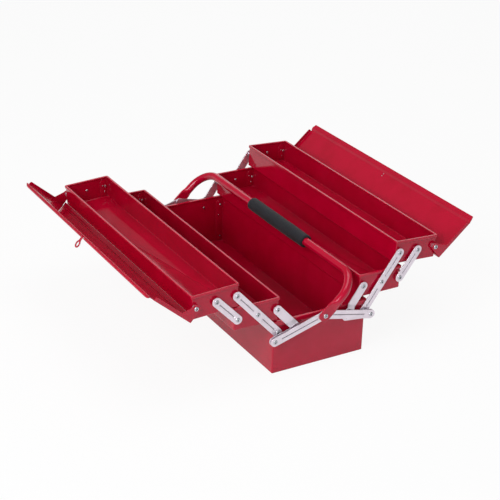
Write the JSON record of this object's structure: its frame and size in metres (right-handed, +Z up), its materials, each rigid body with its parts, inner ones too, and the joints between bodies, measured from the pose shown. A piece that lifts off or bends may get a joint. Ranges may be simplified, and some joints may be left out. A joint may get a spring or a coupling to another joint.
{
  "type": "cantilever tool box",
  "caption": "Steel cantilever tool box: a base bin, paired trays on link arms that fold out to both sides, hinged lids, hasp and a folding carry handle.",
  "frame": {"origin": "middle of the base bin's underside, on the surface it stands on", "axes": "+X along the length towards the near end, +Y across towards the right-hand trays, +Z up"},
  "size_m": [0.5796, 0.6754, 0.2227],
  "materials": {
    "red_enamel": "gloss",
    "zinc_plate": "satin",
    "rivet_steel": "satin",
    "foam_grip": "matte"
  },
  "bodies": {
    "base": {"base_bin": "red_enamel", "base_pivot_rivets": "rivet_steel", "base_crank_rivets": "rivet_steel", "base_spacers": "zinc_plate"},
    "left_long_links": {"near_left_long_link": "zinc_plate", "far_left_long_link": "zinc_plate"},
    "left_cranks": {"near_left_crank": "zinc_plate", "far_left_crank": "zinc_plate", "left_crank_rivets": "rivet_steel", "left_crank_washers": "zinc_plate"},
    "left_lower_tray": {"left_lower_tray": "red_enamel", "left_lower_tray_rivets": "rivet_steel", "left_lower_tray_washers": "zinc_plate"},
    "left_upper_tray": {"left_upper_tray": "red_enamel", "left_upper_tray_rivets": "rivet_steel", "left_upper_tray_washers": "zinc_plate", "left_lid_rivets": "rivet_steel"},
    "left_outer_links": {"near_left_outer_link": "zinc_plate", "far_left_outer_link": "zinc_plate"},
    "left_lifting_bars": {"near_left_lifting_bar": "zinc_plate", "far_left_lifting_bar": "zinc_plate"},
    "right_long_links": {"near_right_long_link": "zinc_plate", "far_right_long_link": "zinc_plate"},
    "right_cranks": {"near_right_crank": "zinc_plate", "far_right_crank": "zinc_plate", "right_crank_rivets": "rivet_steel", "right_crank_washers": "zinc_plate"},
    "right_lower_tray": {"right_lower_tray": "red_enamel", "right_lower_tray_rivets": "rivet_steel", "right_lower_tray_washers": "zinc_plate"},
    "right_upper_tray": {"right_upper_tray": "red_enamel", "right_upper_tray_rivets": "rivet_steel", "right_upper_tray_washers": "zinc_plate", "right_lid_rivets": "rivet_steel"},
    "right_outer_links": {"near_right_outer_link": "zinc_plate", "far_right_outer_link": "zinc_plate"},
    "right_lifting_bars": {"near_right_lifting_bar": "zinc_plate", "far_right_lifting_bar": "zinc_plate"},
    "handle": {"handle_tube": "red_enamel", "handle_grip": "foam_grip", "handle_rivets": "rivet_steel"},
    "left_lid": {"left_lid": "red_enamel", "hasp_bracket": "red_enamel", "hasp_hinge_pin": "rivet_steel"},
    "right_lid": {"right_lid": "red_enamel", "lid_staple": "zinc_plate"},
    "hasp": {"hasp_loop": "red_enamel"}
  },
  "joints": [
    {"name": "fold", "type": "hinge", "parent": "base", "child": "left_long_links", "pos_m": [0, -0.09, 0.084], "axis": [-1, 0, 0], "range_deg": [0, 83.77]},
    {"name": "left_crank_turn", "type": "hinge", "parent": "base", "child": "left_cranks", "pos_m": [0, -0.0505, 0.084], "axis": [-1, 0, 0], "range_deg": [0, 83.79]},
    {"name": "left_lower_tray_level", "type": "hinge", "parent": "left_long_links", "child": "left_lower_tray", "pos_m": [0, -0.13148, 0.12927], "axis": [1, 0, 0], "range_deg": [0, 83.79]},
    {"name": "left_upper_tray_level", "type": "hinge", "parent": "left_long_links", "child": "left_upper_tray", "pos_m": [0, -0.17296, 0.17454], "axis": [1, 0, 0], "range_deg": [0, 80.79]},
    {"name": "left_outer_link_turn", "type": "hinge", "parent": "left_lower_tray", "child": "left_outer_links", "pos_m": [0, -0.17098, 0.12927], "axis": [-1, 0, 0], "range_deg": [0, 85.09]},
    {"name": "right_fold", "type": "hinge", "parent": "base", "child": "right_long_links", "pos_m": [0, 0.09, 0.084], "axis": [1, 0, 0], "range_deg": [0, 76.79]},
    {"name": "right_crank_turn", "type": "hinge", "parent": "base", "child": "right_cranks", "pos_m": [0, 0.0505, 0.084], "axis": [1, 0, 0], "range_deg": [0, 76.79]},
    {"name": "right_lower_tray_level", "type": "hinge", "parent": "right_long_links", "child": "right_lower_tray", "pos_m": [0, 0.12565, 0.13399], "axis": [-1, 0, 0], "range_deg": [0, 76.79]},
    {"name": "right_upper_tray_level", "type": "hinge", "parent": "right_long_links", "child": "right_upper_tray", "pos_m": [0, 0.16131, 0.18397], "axis": [-1, 0, 0], "range_deg": [0, 73.79]},
    {"name": "right_outer_link_turn", "type": "hinge", "parent": "right_lower_tray", "child": "right_outer_links", "pos_m": [0, 0.16515, 0.13399], "axis": [1, 0, 0], "range_deg": [0, 77.9]},
    {"name": "left_bar_turn", "type": "hinge", "parent": "left_cranks", "child": "left_lifting_bars", "pos_m": [0, -0.10009, 0.07209], "axis": [1, 0, 0], "range_deg": [0, 116.89]},
    {"name": "right_bar_turn", "type": "hinge", "parent": "right_cranks", "child": "right_lifting_bars", "pos_m": [0, 0.10117, 0.07823], "axis": [-1, 0, 0], "range_deg": [0, 113.38]},
    {"name": "handle_swing", "type": "hinge", "parent": "left_lifting_bars", "child": "handle", "pos_m": [0, -0.00025, 0.10125], "axis": [1, 0, 0], "range_deg": [0, 95]},
    {"name": "left_lid_hinge", "type": "hinge", "parent": "left_upper_tray", "child": "left_lid", "pos_m": [0, -0.25185, 0.1704], "axis": [-1, 0, 0], "range_deg": [0, 136.2]},
    {"name": "right_lid_hinge", "type": "hinge", "parent": "right_upper_tray", "child": "right_lid", "pos_m": [0, 0.2402, 0.17984], "axis": [1, 0, 0], "range_deg": [0, 136.2]},
    {"name": "hasp_hinge", "type": "hinge", "parent": "left_lid", "child": "hasp", "pos_m": [0, -0.33725, 0.20752], "axis": [-1, 0, 0], "range_deg": [0, 94]}
  ],
  "couplings": [
    {"joint": "left_crank_turn", "follows": "fold", "ratio": 1},
    {"joint": "left_lower_tray_level", "follows": "fold", "ratio": 1},
    {"joint": "left_upper_tray_level", "follows": "fold", "ratio": 0.96419},
    {"joint": "left_outer_link_turn", "follows": "fold", "ratio": 1.0155},
    {"joint": "right_fold", "follows": "fold", "ratio": 0.91644},
    {"joint": "right_crank_turn", "follows": "fold", "ratio": 0.91644},
    {"joint": "right_lower_tray_level", "follows": "fold", "ratio": 0.91644},
    {"joint": "right_upper_tray_level", "follows": "fold", "ratio": 0.88063},
    {"joint": "right_outer_link_turn", "follows": "fold", "ratio": 0.92969},
    {"joint": "left_bar_turn", "follows": "fold", "ratio": 1.3951},
    {"joint": "right_bar_turn", "follows": "fold", "ratio": 1.3532}
  ]
}
